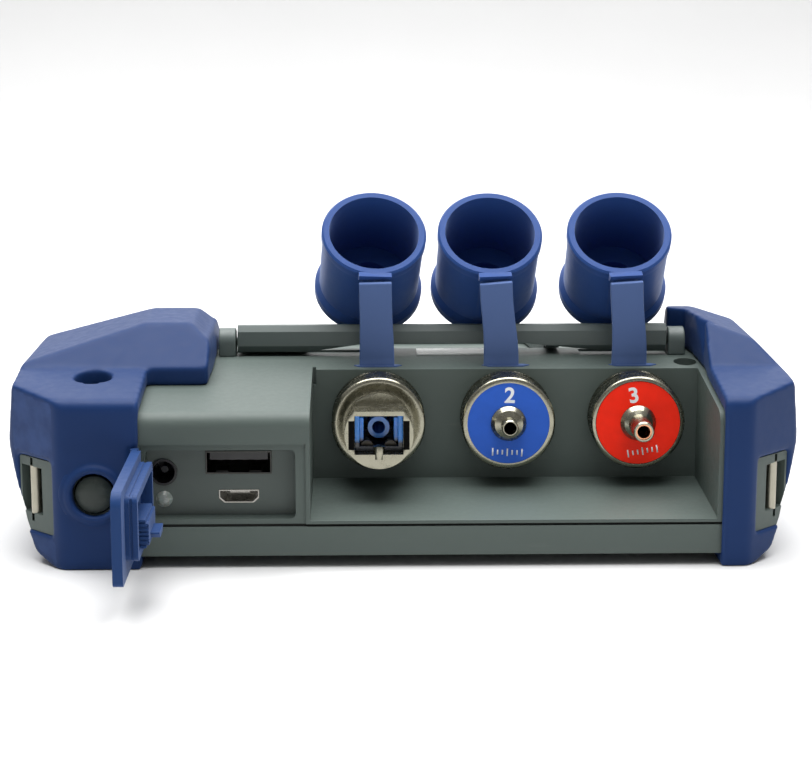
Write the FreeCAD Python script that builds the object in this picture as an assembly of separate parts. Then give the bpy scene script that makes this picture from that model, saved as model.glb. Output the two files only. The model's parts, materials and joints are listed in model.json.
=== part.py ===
import FreeCAD, Part
import math
import os

V = FreeCAD.Vector

# Handheld optical time domain reflectometer lying screen-down on its rubber
# corner boots. Millimetres. X runs left to right along the connector end, Y
# runs from the connector end (y = 0) towards the far end, Z is up (z = 0 is
# the underside of the boots). Everything is shifted once, at export, so that
# the origin is the centre of the bounding box's bottom.

FAR = 200.0                 # reach of cutting blocks, beyond every form
HALF_SQRT = math.sqrt(0.5)

# ---- housing ----
CASE_HALF_W = 71.8          # half width of the grey housing
CASE_LEN = 116.0            # housing length, connector end to far end
CASE_Z0 = 2.3               # screen face of the housing above the rest plane
SPLIT_Z = 8.1               # parting plane between front and rear housing
SEAL_T = 0.5                # visible gasket thickness in the parting line
SEAL_W = 3.0                # gasket width
TOP_FRONT_Z = 29.3          # top of the connector end face
TOP_BAIL_Z = 33.8           # back surface under the stand's hinge bar
BAIL_STEP_Y = 42.4          # where the back steps down behind the hinge bar
STEP_RUN = 2.0              # length of that step
TOP_REAR_Z = 31.2           # back surface just behind that step
TOP_END_Z = 22.8            # back surface at the far end
END_BEVEL = 2.0             # bevel along the far end's upper edge
CASE_CORNER = 11.0          # plan chamfer of the housing corners
SIDE_TOP_Z = 27.0           # where the sloping upper sides meet the side walls
SIDE_TOP_IN = 10.0          # how far the upper sides slope in
SIDE_LOW_Z, SIDE_LOW_IN = 8.0, 3.5

# ---- adapter recess and ports ----
RECESS_X0, RECESS_X1 = -17.8, 58.3
RECESS_DEPTH = 26.5         # front face to the recess's back wall
RECESS_LIP_Z = 8.95         # recess floor at the front lip
RECESS_FLOOR_RISE = 1.6     # floor rise from lip to back wall
NOTCH_W, NOTCH_L, NOTCH_H = 0.7, 1.6, 3.2
PORT_X = (-4.9, 20.4, 45.65)
PORT_Z = 23.2
RING_R = 9.1                # knurled adapter radius
RING_T = 7.3                # knurled adapter length
RING_GAP = 0.3              # adapter to back wall
RING_FRONT = RECESS_DEPTH - RING_GAP - RING_T
RING_BEVEL = 0.9
KNURL_TEETH = 30
KNURL_DEPTH = 0.35
STUB_R = 6.75               # threaded bulkhead stub radius
STUB_BORE_R = 6.0
STUB_LEN = 4.7              # how far the stub stands out of the back wall
STUB_ROOT = 8.0             # how deep it sits in the housing
RUN_FIT = 0.05              # radial running clearance
SC_W, SC_H = 9.3, 7.5       # square connector opening
SC_SLOT_W, SC_SLOT_H = 11.6, 5.6
SC_SLOT_L = 1.6
SC_BOSS_R, SC_BOSS_L = 6.55, 10.0
SC_FLAT_Z, SC_FLAT_L = 4.6, 8.0         # flat milled on top of the boss
SC_KEY_R, SC_KEY_LOW, SC_KEY_TOP = 1.05, 4.7, 2.2
SC_SET_BACK = 3.0           # blue receptacle behind the boss's front
SC_BACK = 5.5               # receptacle's end behind the recess wall
SC_WALL = 0.9
SLEEVE_R, SLEEVE_BORE_R = 2.1, 1.25
SLEEVE_SET_BACK = 7.2
DISC_R = (8.0, 8.3)         # coloured label discs, middle and right
DISC_T = 0.25
BOSS_R = 3.45               # boss that carries a ferrule nozzle
BOSS_L = 1.6
BOSS_PLUG_L = 2.4           # how deep the boss sits in the ring
NOZZLE_R, NOZZLE_L = (1.6, 2.0), (3.0, 6.9)
FERRULE_BORE_R = 1.25       # 2.5 mm ferrule bore of both round adapters
VFL_LINER_R = 1.5

# ---- connector bay ----
BAY_X0, BAY_X1 = -48.3, -20.5
BAY_Z0, BAY_Z1 = 9.3, 22.5
BAY_DEPTH = 11.0            # room behind the socket panel
PANEL_Y = 3.7               # socket panel behind the end face
PANEL_T = 2.0
FRAME_X1 = -18.6            # right end of the door's shallow seat
SEAT_DEPTH, SEAT_Z1 = 0.5, 23.6
USB_X, USB_Z = -31.2, 19.4
USB_W, USB_H, USB_L = 12.4, 4.4, 12.0
USB_WALL = 0.3
MICRO_X, MICRO_Z = -31.2, 12.9
MICRO_W, MICRO_H, MICRO_L = 7.5, 2.5, 6.0
MICRO_WALL = 0.22
DC_X, DC_Z, DC_R, DC_BORE_R, DC_L = -45.2, 17.6, 2.55, 2.1, 10.5
LED_X, LED_Z, LED_R, LED_L = -45.2, 12.4, 1.55, 3.0

# ---- rubber corner boots ----
BOOT_SIDE_T = 3.2           # rubber outside the housing's side walls
BOOT_FRONT_T = 1.2          # rubber in front of the connector end
BOOT_REAR_T = 1.8           # rubber beyond the far end
BOOT_HALF_W = CASE_HALF_W + BOOT_SIDE_T
BOOT_Y0 = -BOOT_FRONT_T
BOOT_SIDE_LEN = 46.0        # how far the front boots run back
PLATEAU_Z = 42.0
CREASE_Y, CREASE_Z = 17.0, 34.75
PLATEAU_Y = 26.6
BOOT_FRONT_Z = 32.0
LEFT_BOOT_X = -49.2         # inner edge of the left boot's front block
LEFT_SLAB_X = -37.6         # inner edge of its raised slab
RIGHT_BOOT_X = 59.0
RIGHT_HOOK_X, RIGHT_HOOK_Y = 54.4, 41.4
REAR_BOOT_Z = 30.0
REAR_BOOT_LEN = 34.0
REAR_BOOT_X = 50.0          # inner edge of the rear boots
BOOT_CORNER = 11.0          # plan chamfer of the boots
BOOT_ROUND = 3.0            # rounding of the boots' plan corners
FOOT_IN = 5.3               # width of the foot rim under the housing's sides
FOOT_LIP = 8.5              # and under its ends
LEFT_HOLE = (-59.0, 14.2, 3.5)          # screw wells: x, y, radius
RIGHT_HOLE = (56.4, 30.6, 2.3)
HOLE_Z = 24.0

# ---- power button, straps, anchors ----
POWER_X, POWER_Z = -57.65, 14.5
POWER_R, POWER_RING_R = 3.55, 5.7
POWER_STROKE = 1.0
POWER_GAP = 0.5
POWER_DEPTH = 4.4
ANCHOR_Z, ANCHOR_H, ANCHOR_W = 13.1, 14.2, 10.2
ANCHOR_DEPTH = 8.0
PIN_DEPTH = 1.5             # strap pin behind the corner's diagonal plane
PIN_SHIFT = -1.4            # pin and slot towards the side wall
STRAP_PIN_R, STRAP_SLOT_H, STRAP_SLOT_W = 1.0, 9.0, 6.2
STRAP_SLOT_Z = 13.9
PIN_ROOT = 1.6              # pin's ends beyond the slot

# ---- port door ----
HINGE_X, HINGE_Y = -49.9, -1.6
HINGE_R = 0.8
DOOR_L, DOOR_Z0, DOOR_Z1 = 33.2, 6.9, 23.3
DOOR_T = 1.8
DOOR_OPEN = 90.0
DOOR_GAP = 0.3              # closed door to the end face
SEAL_RIM_T, SEAL_RIM_H = 1.5, 2.2
RIM_GAP = 0.75
PLUG_FIT = 0.45             # socket plug to the socket's shell
PLUG_W, PLUG_H, PLUG_L = 10.5, 4.2, 3.6
PLUG_Z = 13.9
PLUG_RIBS = 7
RIB_H = 0.4
PLUG_TIP_L = 5.2

# ---- dust caps and their straps ----
CAP_LEN = 20.0
CAP_R, CAP_BORE_R, CAP_BASE_R = 10.15, 8.95, 11.0
CAP_RIM_R = 10.45
CAP_FLOOR = 3.6
CAP_DIMPLE_R, CAP_DIMPLE = 5.0, 1.6
CAP_LEAN = (1.0, 4.6, 3.7)  # sideways lean of each strap about its port, degrees
CAP_YAW = (4.5, 4.5, 1.5)   # twist of each cap on its strap, degrees
STRAP_Y, STRAP_Z = 28.8, 34.35
CREASE = (26.7, 49.8)       # (y, z) of the fold between strap and cap
RIM_C = (35.5, 58.5)        # (y, z) of the cap's rim centre
STRAP_T = 1.3
STRAP_W0, STRAP_W1 = 6.9, 6.4
HINGE_CLEAR = 0.3
ROOT_Z0, ROOT_Z1 = 31.0, 32.95
ROOT_T = 1.9
ROOT_EAR = 1.3
ROOT_FIT = 0.05

# ---- folding stand ----
STAND_PIVOT = (37.7, 36.2)  # (y, z)
STAND_X0, STAND_X1 = -33.0, 53.3
STAND_TOP_Z, STAND_Y = 39.7, 35.5
STAND_MID_Z, STAND_LOW_Z = 36.0, 34.2
STAND_PIN_R, STAND_PIN_L = 0.8, 3.8
STAND_END = 12.0            # stand's foot short of the far end
STAND_FOOT = 8.0
LEG_T = 2.6
LEG_CLEAR = 0.35            # leg above the back surface
LEG_LEFT = (-33.0, -19.0)
LEG_RIGHT = (29.3, 32.0)
GROOVE_Z = 33.4             # groove under the bar's two deep ends
GROOVE_LEFT, GROOVE_RIGHT = -6.0, 36.0
KNUCKLE_W = 3.4
KNUCKLE_R = 2.8
KNUCKLE_GAP = 0.35

# ---- screen side ----
WINDOW = (-56.0, 27.0, 34.0, 84.0)      # x0, x1, y0, y1
WINDOW_T, WINDOW_SET = 1.5, 0.3
WINDOW_LEDGE = 4.0
LCD_T = 2.6
KEY_X, KEY_Y, KEY_PITCH = 46.5, 58.0, 10.5
KEY_STROKE = 0.8
KEY_PROUD = 1.0
KEY_T = 3.2
KEY_SKIRT, KEY_SKIRT_T = 0.9, 1.0
KEY_CLEAR = 0.35

# ---- inside, and small parts ----
BOARD = (-60.0, 50.0, 46.0, 108.0, 10.5, 12.3)
BATTERY = (-58.0, -8.0, 50.0, 104.0, 13.0, 22.5)
OPTICS = (0.0, 48.0, 46.0, 88.0, 13.0, 24.0)
INSIDE_FIT = 0.1
SCREW_SPOTS = ((-62.5, 29.0), (62.5, 29.0), (-62.5, 92.0), (62.5, 92.0))
SCREW_R, SCREW_HEAD_R, SCREW_TOP = 1.3, 2.6, 13.5
SCREW_SINK = 2.2
LABEL = (3.0, 22.0, 36.0, 41.4)         # x0, x1, y0, y1
LABEL_T = 0.15


def corner_points(points):
    """Replace each (a, b, r) corner by the two tangent points and arc middle."""
    out = []
    n = len(points)
    for i, p in enumerate(points):
        c = V(p[0], p[1], 0)
        r = p[2] if len(p) > 2 else 0
        if not r:
            out.append((c, None, c))
            continue
        a = V(points[i - 1][0], points[i - 1][1], 0) - c
        b = V(points[(i + 1) % n][0], points[(i + 1) % n][1], 0) - c
        a.normalize()
        b.normalize()
        half = a.getAngle(b) / 2
        t = r / math.tan(half)
        mid_dir = (a + b).normalize()
        centre = c + mid_dir * (r / math.sin(half))
        out.append((c + a * t, centre - mid_dir * r, c + b * t))
    return out


def face(points, place):
    """Planar face from 2-D points (optionally with corner radii)."""
    nodes = corner_points(points)
    edges = []
    for i, (a, m, b) in enumerate(nodes):
        if m is not None:
            edges.append(Part.Arc(place(a), place(m), place(b)).toShape())
        nxt = nodes[(i + 1) % len(nodes)][0]
        if (nxt - b).Length > 1e-5:
            edges.append(Part.makeLine(place(b), place(nxt)))
    return Part.Face(Part.Wire(edges))


def prism_x(points, x0, x1):
    return face(points, lambda p: V(x0, p.x, p.y)).extrude(V(x1 - x0, 0, 0))


def prism_y(points, y0, y1):
    return face(points, lambda p: V(p.x, y0, p.y)).extrude(V(0, y1 - y0, 0))


def prism_z(points, z0, z1):
    return face(points, lambda p: V(p.x, p.y, z0)).extrude(V(0, 0, z1 - z0))


def box(x0, x1, y0, y1, z0, z1):
    return Part.makeBox(x1 - x0, y1 - y0, z1 - z0, V(x0, y0, z0))


def below(z):
    return box(-FAR, FAR, -FAR, FAR, -FAR, z)


def rect(x0, x1, y0, y1, r=0.0):
    return [(x0, y0, r), (x1, y0, r), (x1, y1, r), (x0, y1, r)]


def around(x, z, w, h, r=0.0):
    return rect(x - w / 2, x + w / 2, z - h / 2, z + h / 2, r)


def cyl_x(r, x0, x1, y, z):
    return Part.makeCylinder(r, x1 - x0, V(x0, y, z), V(1, 0, 0))


def cyl_y(r, y0, y1, x, z):
    return Part.makeCylinder(r, y1 - y0, V(x, y0, z), V(0, 1, 0))


def cyl_z(r, z0, z1, x, y):
    return Part.makeCylinder(r, z1 - z0, V(x, y, z0), V(0, 0, 1))


def turned_y(points, x, z):
    """Solid of revolution about the line x, z; points are (radius, y)."""
    f = face(points, lambda p: V(x + p.x, p.y, z))
    return f.revolve(V(x, 0, z), V(0, 1, 0), 360)


def mirrored(shape):
    return shape.mirror(V(0, 0, 0), V(1, 0, 0))


def plan(half_w, y0, y1, c, r):
    """Outline seen from above with a c wide chamfer at each corner."""
    w = half_w
    return [(c - w, y0, r), (w - c, y0, r), (w, y0 + c, r), (w, y1 - c, r),
            (w - c, y1, r), (c - w, y1, r), (-w, y1 - c, r), (-w, y0 + c, r)]


# ---- housing ----

def back_z(y):
    """Height of the back surface behind the step."""
    y0, y1 = BAIL_STEP_Y + STEP_RUN, CASE_LEN - END_BEVEL
    return TOP_REAR_Z + (TOP_END_Z - TOP_REAR_Z) * (y - y0) / (y1 - y0)


def case_envelope():
    side = [(0, CASE_Z0), (0, TOP_FRONT_Z - 0.9), (0.9, TOP_FRONT_Z, 0.8), (BAIL_STEP_Y - 7, TOP_BAIL_Z - 0.15),
            (BAIL_STEP_Y, TOP_BAIL_Z), (BAIL_STEP_Y + STEP_RUN, TOP_REAR_Z), (CASE_LEN - END_BEVEL, TOP_END_Z),
            (CASE_LEN, TOP_END_Z - END_BEVEL), (CASE_LEN, CASE_Z0)]
    w = CASE_HALF_W
    crown = PLATEAU_Z
    front = [(SIDE_LOW_IN - w, CASE_Z0), (w - SIDE_LOW_IN, CASE_Z0), (w, SIDE_LOW_Z), (w, SIDE_TOP_Z),
             (w - SIDE_TOP_IN, crown), (SIDE_TOP_IN - w, crown), (-w, SIDE_TOP_Z), (-w, SIDE_LOW_Z)]
    body = prism_x(side, -FAR, FAR).common(prism_y(front, -FAR, FAR))
    return body.common(prism_z(plan(w, 0, CASE_LEN, CASE_CORNER, 2.0), -FAR, FAR))


def place_diagonal(s):
    """Move a shape built on the plane y = 0 onto the left boot's diagonal."""
    c = BOOT_CORNER / 2
    s = s.copy()
    s.rotate(V(0, 0, 0), V(0, 0, 1), -45)
    s.translate(V(c - BOOT_HALF_W, BOOT_Y0 + c, 0))
    return s


def anchor_windows():
    """Openings for the two strap anchors in boots and housing."""
    h, w = ANCHOR_H / 2, ANCHOR_W / 2
    left = place_diagonal(box(-w, w, -ANCHOR_DEPTH, ANCHOR_DEPTH, ANCHOR_Z - h, ANCHOR_Z + h))
    return [left, mirrored(left)]


def recess_cut():
    z, deep = RECESS_LIP_Z, RECESS_DEPTH
    floor = [(-FAR, z), (0.6, z), (1.4, z + 0.25), (deep, z + RECESS_FLOOR_RISE), (deep, FAR), (-FAR, FAR)]
    cut = prism_x(floor, RECESS_X0, RECESS_X1)
    notch = box(RECESS_X0, RECESS_X0 + NOTCH_W, deep - 0.1, deep + NOTCH_L, TOP_BAIL_Z - 1.2 - NOTCH_H, FAR)
    return cut.fuse(notch)


def strap_slot(x):
    """Seat of a strap's root in the back surface, with an ear each side."""
    return strap_seat(x, ROOT_FIT, ROOT_Z0 - ROOT_FIT, FAR)


def strap_seat(x, grow, z0, z1):
    y, w, t = STRAP_Y, STRAP_W0 / 2 + grow, ROOT_T / 2 + grow
    outline = [(x - w - ROOT_EAR, y), (x - w, y - t), (x + w, y - t), (x + w + ROOT_EAR, y), (x + w, y + t),
               (x - w, y + t)]
    return prism_z(outline, z0, z1)


def rear_housing():
    body = case_envelope().cut([below(SPLIT_Z + SEAL_T / 2), recess_cut()])
    room = PANEL_Y + PANEL_T
    # seat of the port door and the socket panel behind it
    cuts = [box(LEFT_BOOT_X, FRAME_X1, -FAR, SEAT_DEPTH, SPLIT_Z - 1, SEAT_Z1),
            prism_y(rect(BAY_X0, BAY_X1, BAY_Z0, BAY_Z1, 1.0), -FAR, room),
            box(BAY_X0, BAY_X1, room - 0.1, room + BAY_DEPTH, BAY_Z0, BAY_Z1)]
    # grooves under the hinge bar's two deep ends
    y = STAND_PIVOT[0]
    for x0, x1 in ((STAND_X0 - KNUCKLE_GAP, GROOVE_LEFT), (GROOVE_RIGHT, STAND_X1 + KNUCKLE_GAP)):
        cuts.append(box(x0, x1, STAND_Y - KNUCKLE_GAP, y + 3.3, GROOVE_Z, FAR))
    cuts += [strap_slot(x) for x in PORT_X]
    x, y, r = RIGHT_HOLE
    cuts.append(cyl_z(r, HOLE_Z, FAR, x, y))
    # port bores, power button, inner cavities
    deep = RECESS_DEPTH
    cuts += [cyl_y(STUB_R, deep - 1, deep + STUB_ROOT, x, PORT_Z) for x in PORT_X]
    cuts.append(cyl_y(POWER_R + KEY_CLEAR, -FAR, POWER_DEPTH, POWER_X, POWER_Z))
    cuts += anchor_windows()
    cuts += [box(*BOARD), box(*BATTERY), box(*OPTICS)]
    cuts += [cyl_z(SCREW_R, SPLIT_Z - 1, SCREW_TOP + 0.5, x, y) for x, y in SCREW_SPOTS]
    return body.cut(cuts)


def keys():
    """Name, centre, outline size and corner radius of every key."""
    x, y, p = KEY_X, KEY_Y, KEY_PITCH
    return [("key_enter", x, y, 8.0, 8.0, 3.9), ("key_up", x, y - p, 8.0, 7.0, 2.0),
            ("key_down", x, y + p, 8.0, 7.0, 2.0), ("key_left", x - p, y, 7.0, 8.0, 2.0),
            ("key_right", x + p, y, 7.0, 8.0, 2.0), ("key_menu", x - p, y - 2 * p, 7.5, 6.0, 2.5),
            ("key_back", x + p, y - 2 * p, 7.5, 6.0, 2.5), ("key_test", x + p, y + 2 * p, 7.5, 6.0, 2.5),
            ("key_save", x - p, y + 2 * p, 7.5, 6.0, 2.5)]


def key_shape(x, y, w, h, r):
    z, k = CASE_Z0, 2 * KEY_SKIRT
    cap = prism_z(around(x, y, w, h, r), z - KEY_PROUD, z + KEY_T)
    skirt = prism_z(around(x, y, w + k, h + k), z + KEY_T - KEY_SKIRT_T, z + KEY_T)
    return cap.fuse(skirt)


def key_pocket(x, y, w, h, r):
    z, c, k = CASE_Z0, 2 * KEY_CLEAR, 2 * (KEY_SKIRT + KEY_CLEAR)
    hole = prism_z(around(x, y, w + c, h + c, r + KEY_CLEAR), z - 1, z + KEY_T)
    room = prism_z(around(x, y, w + k, h + k), z + KEY_T - KEY_SKIRT_T - KEY_CLEAR,
                   z + KEY_T + KEY_STROKE + KEY_CLEAR)
    return hole.fuse(room)


def front_housing():
    body = case_envelope().common(below(SPLIT_Z - SEAL_T / 2))
    x0, x1, y0, y1 = WINDOW
    z, ledge = CASE_Z0, WINDOW_LEDGE
    glass_top = z + WINDOW_SET + WINDOW_T
    cuts = [prism_z(rect(x0, x1, y0, y1, 3.0), z - 1, glass_top),
            box(x0 + ledge, x1 - ledge, y0 + ledge, y1 - ledge, z, glass_top + LCD_T)]
    cuts += [key_pocket(*k[1:]) for k in keys()]
    cuts += anchor_windows()
    for x, y in SCREW_SPOTS:
        cuts += [cyl_z(SCREW_R, 0, SPLIT_Z + 1, x, y), cyl_z(SCREW_HEAD_R, 0, z + SCREW_SINK, x, y)]
    return body.cut(cuts)


def housing_seal():
    z0, z1 = SPLIT_Z - SEAL_T / 2, SPLIT_Z + SEAL_T / 2
    c, i, j = CASE_CORNER, SEAL_T, SEAL_T + SEAL_W
    outer = prism_z(plan(CASE_HALF_W - i, i, CASE_LEN - i, c, 2.0), z0, z1)
    inner = prism_z(plan(CASE_HALF_W - j, j, CASE_LEN - j, c, 0), z0 - 1, z1 + 1)
    return outer.cut([inner] + anchor_windows())


# ---- boots ----

def boot_profile(left):
    """Outline of a front boot's half of the part, seen from the connector end."""
    w, z = BOOT_HALF_W, PLATEAU_Z
    low = [(0, 0), (w - 9.5, 0), (w - 5.4, 2.0, 2.0), (w - 3.2, 7.5, 8.0), (w, 22.0, 8.0)]
    if left:
        x = -LEFT_SLAB_X
        top = [(w - 1.4, z - 6.4, 2.0), (x + 12.9, z), (x + 3.7, z, 1.2), (x + 0.7, z - 2.6, 1.2),
               (x, z - 5.5), (0, z - 5.5)]
        return [(-a, b, *r) for a, b, *r in low + top]
    return low + [(w - 1.2, z - 8.5, 2.0), (w - 6.5, z - 3.0, 3.0), (w - 15.5, z), (0, z)]


def boot_envelope(left):
    y0, y1, z = BOOT_Y0, BOOT_SIDE_LEN, PLATEAU_Z
    side = [(y0, 0), (y0, BOOT_FRONT_Z, 2.0), (CREASE_Y, CREASE_Z), (PLATEAU_Y, z, 1.5), (y1, z, 1.5),
            (y1 + 2.5, z - 6.0), (y1 - 6, z - 22.0), (y1 - 8, 0)]
    out = prism_x(side, -FAR, FAR).common(prism_y(boot_profile(left), -FAR, FAR))
    return out.common(prism_z(plan(BOOT_HALF_W, y0, FAR, BOOT_CORNER, BOOT_ROUND), -FAR, FAR))


def left_plan():
    """The front block stops short of the raised slab behind the crease."""
    return [(LEFT_BOOT_X, -FAR), (LEFT_BOOT_X, CREASE_Y), (LEFT_SLAB_X - 0.5, CREASE_Y, 1.0),
            (LEFT_SLAB_X, CREASE_Y + 12), (LEFT_SLAB_X, FAR), (-FAR, FAR), (-FAR, -FAR)]


def right_plan():
    """The slab hooks round behind the stand's knuckle."""
    x, hook_y = RIGHT_BOOT_X, RIGHT_HOOK_Y
    return [(x, -FAR), (x, CREASE_Y), (x + 0.4, CREASE_Y + 9), (x - 1.2, hook_y), (RIGHT_HOOK_X, hook_y + 1.6),
            (RIGHT_HOOK_X, FAR), (FAR, FAR), (FAR, -FAR)]


def hook_slope():
    """Wedge that leans the right slab's inner wall outwards."""
    x, y, low = RIGHT_BOOT_X, CREASE_Y + 9, PLATEAU_Z - 9.0
    base = face([(x, y), (x - 11.2, y + 23.4), (x - 30, y + 23.4), (x - 30, y)], lambda p: V(p.x, p.y, low))
    return base.extrude(V(3.0, 1.0, 9.0) * 1.5)


def front_boot(left):
    out = boot_envelope(left).common(prism_z(left_plan() if left else right_plan(), -FAR, FAR))
    w = BOOT_HALF_W - BOOT_SIDE_T - FOOT_IN
    foot = box(-w, w, FOOT_LIP, FAR, -FAR, CASE_Z0 + SEAL_T)
    return out.cut([case_envelope(), foot] + anchor_windows())


def power_ring():
    r0, r1, y = POWER_R + POWER_GAP, POWER_RING_R, BOOT_Y0
    return turned_y([(r0, y + 0.3), (r0, y - 0.35), (r0 + 0.7, y - 0.75), (r1 - 0.5, y - 0.5), (r1, y + 0.3)],
                    POWER_X, POWER_Z)


def boot_front_left():
    x, y, r = LEFT_HOLE
    gap = HINGE_R + 0.3
    cuts = [cyl_y(POWER_R + POWER_GAP, -FAR, CREASE_Y, POWER_X, POWER_Z), cyl_z(r, HOLE_Z, FAR, x, y),
            box(HINGE_X - gap, FAR, BOOT_Y0 - 1, HINGE_Y + gap, DOOR_Z0 - 0.4, DOOR_Z1 + 0.4)]
    return front_boot(True).fuse(power_ring()).cut(cuts)


def boot_front_right():
    x, y, r = RIGHT_HOLE
    return front_boot(False).cut([hook_slope(), cyl_z(r, HOLE_Z, FAR, x, y)])


def rear_boot(sign):
    w, y1, z = BOOT_HALF_W, CASE_LEN + BOOT_REAR_T, REAR_BOOT_Z
    back = y1 - REAR_BOOT_LEN
    front = [(0, 0), (w - 9.5, 0), (w - 3.2, 6.5, 5.0), (w, 20.0, 5.0), (w - 1.0, 26.0, 2.0),
             (w - 10, z), (0, z)]
    side = [(back, 0), (y1, 0), (y1, 22.5, 3.0), (y1 - 8, 26.5), (back, z)]
    out = prism_y(front, -FAR, FAR).common(prism_x(side, -FAR, FAR))
    out = out.common(prism_z(plan(w, -FAR, y1, BOOT_CORNER, BOOT_ROUND), -FAR, FAR))
    x = REAR_BOOT_X
    inner = [(x, FAR), (x, y1 - 12, 3.0), (x + 10, y1 - 22, 3.0), (x + 10, back - 1), (FAR, back - 1),
             (FAR, FAR)]
    out = out.common(prism_z(inner, -FAR, FAR))
    foot = box(0, w - BOOT_SIDE_T - FOOT_IN, 0, CASE_LEN - FOOT_LIP, -FAR, CASE_Z0 + SEAL_T)
    out = out.cut([case_envelope(), foot])
    return out if sign > 0 else mirrored(out)


# ---- strap anchors ----

def strap_anchor():
    """Grey corner insert with a slotted pocket round the strap pin."""
    h, w, d = ANCHOR_H / 2 - RUN_FIT, ANCHOR_W / 2 - RUN_FIT, ANCHOR_DEPTH - RUN_FIT
    body = box(-w, w, 0.0, d, ANCHOR_Z - h, ANCHOR_Z + h)
    x, z, slot_h, slot_w = PIN_SHIFT, STRAP_SLOT_Z, STRAP_SLOT_H / 2, STRAP_SLOT_W / 2
    pocket = box(x - slot_w, x + slot_w, -1, d - 1.0, z - slot_h, z + slot_h)
    skin = boot_envelope(True)
    skin.translate(V(0.4, 0.4, 0))
    return place_diagonal(body.cut([pocket, pin_rod()])).common(skin)


def pin_rod():
    half = STRAP_SLOT_H / 2 + PIN_ROOT
    return cyl_z(STRAP_PIN_R, STRAP_SLOT_Z - half, STRAP_SLOT_Z + half, PIN_SHIFT, PIN_DEPTH)


def strap_pin():
    return place_diagonal(pin_rod())


# ---- connector bay ----

def port_panel():
    body = prism_y(rect(BAY_X0, BAY_X1, BAY_Z0, BAY_Z1, 1.0), PANEL_Y, PANEL_Y + PANEL_T)
    cuts = [prism_y(around(USB_X, USB_Z, USB_W, USB_H), 0, FAR), prism_y(micro_outline(0), 0, FAR),
            cyl_y(DC_R, 0, FAR, DC_X, DC_Z), cyl_y(LED_R, 0, FAR, LED_X, LED_Z)]
    return body.cut(cuts)


def micro_outline(inset):
    w, h = MICRO_W / 2 - inset, MICRO_H / 2 - inset
    x, z = MICRO_X, MICRO_Z
    return [(x - w, z + h), (x - w, z - h + 0.9), (x - w + 1.0, z - h), (x + w - 1.0, z - h),
            (x + w, z - h + 0.9), (x + w, z + h)]


def usb_a_shell():
    y0, y1, t = PANEL_Y - 0.2, PANEL_Y + USB_L, 2 * USB_WALL
    body = prism_y(around(USB_X, USB_Z, USB_W, USB_H), y0, y1)
    inner = prism_y(around(USB_X, USB_Z, USB_W - t, USB_H - t), y0 - 1, y1 - 0.5)
    low = USB_Z - USB_H / 2 + USB_WALL
    bump = [(y0 + 0.6, low - 0.1), (y0 + 0.6, low + 0.2), (y0 + 2.4, low + 0.8), (y0 + 4.2, low + 0.2),
            (y0 + 4.2, low - 0.1)]
    springs = [prism_x(bump, x - 1.2, x + 1.2) for x in (USB_X - USB_W / 4, USB_X + USB_W / 4)]
    return body.cut(inner).fuse(springs)


def usb_a_tongue():
    x, z, y = USB_X, USB_Z, PANEL_Y
    w = USB_W / 2 - 0.8
    tongue = box(x - w, x + w, y + 1.2, y + USB_L - 0.5, z + 0.25, z + 1.75)
    pads = [box(x + a - 0.5, x + a + 0.5, y + 1.6, y + 9, z + 0.1, z + 0.3) for a in (-3.5, -1.15, 1.15, 3.5)]
    return tongue.fuse(pads)


def micro_usb_socket():
    y0, y1 = PANEL_Y - 0.15, PANEL_Y + MICRO_L
    body = prism_y(micro_outline(0), y0, y1)
    body = body.cut(prism_y(micro_outline(MICRO_WALL), y0 - 1, y1 - 0.8))
    tongue = box(MICRO_X - 1.9, MICRO_X + 1.9, y1 - 3.1, y1 - 0.5, MICRO_Z - 0.1, MICRO_Z + 0.45)
    return body.fuse(tongue)


def dc_jack():
    y0, y1 = PANEL_Y - 0.3, PANEL_Y + DC_L
    tube = [(0, y1), (0, y1 - 1), (DC_BORE_R, y1 - 1), (DC_BORE_R, y0), (DC_R, y0), (DC_R, y1)]
    body = turned_y(tube, DC_X, DC_Z)
    return body.fuse(cyl_y(0.65, y0 + 2.5, y1 - 0.9, DC_X, DC_Z))


def charge_led():
    y, r, back = PANEL_Y, LED_R, PANEL_Y + LED_L
    return turned_y([(0, y - 0.7), (0.9, y - 0.5), (r, y), (r, back), (0, back)], LED_X, LED_Z)


# ---- ports and adapters ----

def tube_y(bore_r, r, y0, y1, x):
    return turned_y([(bore_r, y0), (r, y0), (r, y1), (bore_r, y1)], x, PORT_Z)


def bulkhead(x):
    y0, y1, r = RECESS_DEPTH - STUB_LEN, RECESS_DEPTH + STUB_ROOT, STUB_R - RUN_FIT
    return turned_y([(STUB_BORE_R, y0), (r, y0), (r, RECESS_DEPTH), (STUB_R, RECESS_DEPTH), (STUB_R, y1),
                     (STUB_BORE_R, y1)], x, PORT_Z)


def knurled_ring(x, front_points):
    """Adapter body: front_points run from the bore to the rim's bevel."""
    y0, y1 = RING_FRONT, RING_FRONT + RING_T
    rim = [(RING_R - RING_BEVEL, y0), (RING_R, y0 + RING_BEVEL), (RING_R, y1), (STUB_R, y1)]
    body = turned_y(front_points + rim, x, PORT_Z)
    groove = prism_y([(RING_R - KNURL_DEPTH, 0), (RING_R + 0.3, -0.8), (RING_R + 0.3, 0.8)], y0 + 1.9, y1 + 1)
    cuts = []
    for i in range(KNURL_TEETH):
        g = groove.copy()
        g.rotate(V(0, 0, 0), V(0, 1, 0), 360.0 * i / KNURL_TEETH)
        g.translate(V(x, 0, PORT_Z))
        cuts.append(g)
    return body.cut(Part.makeCompound(cuts))


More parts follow.
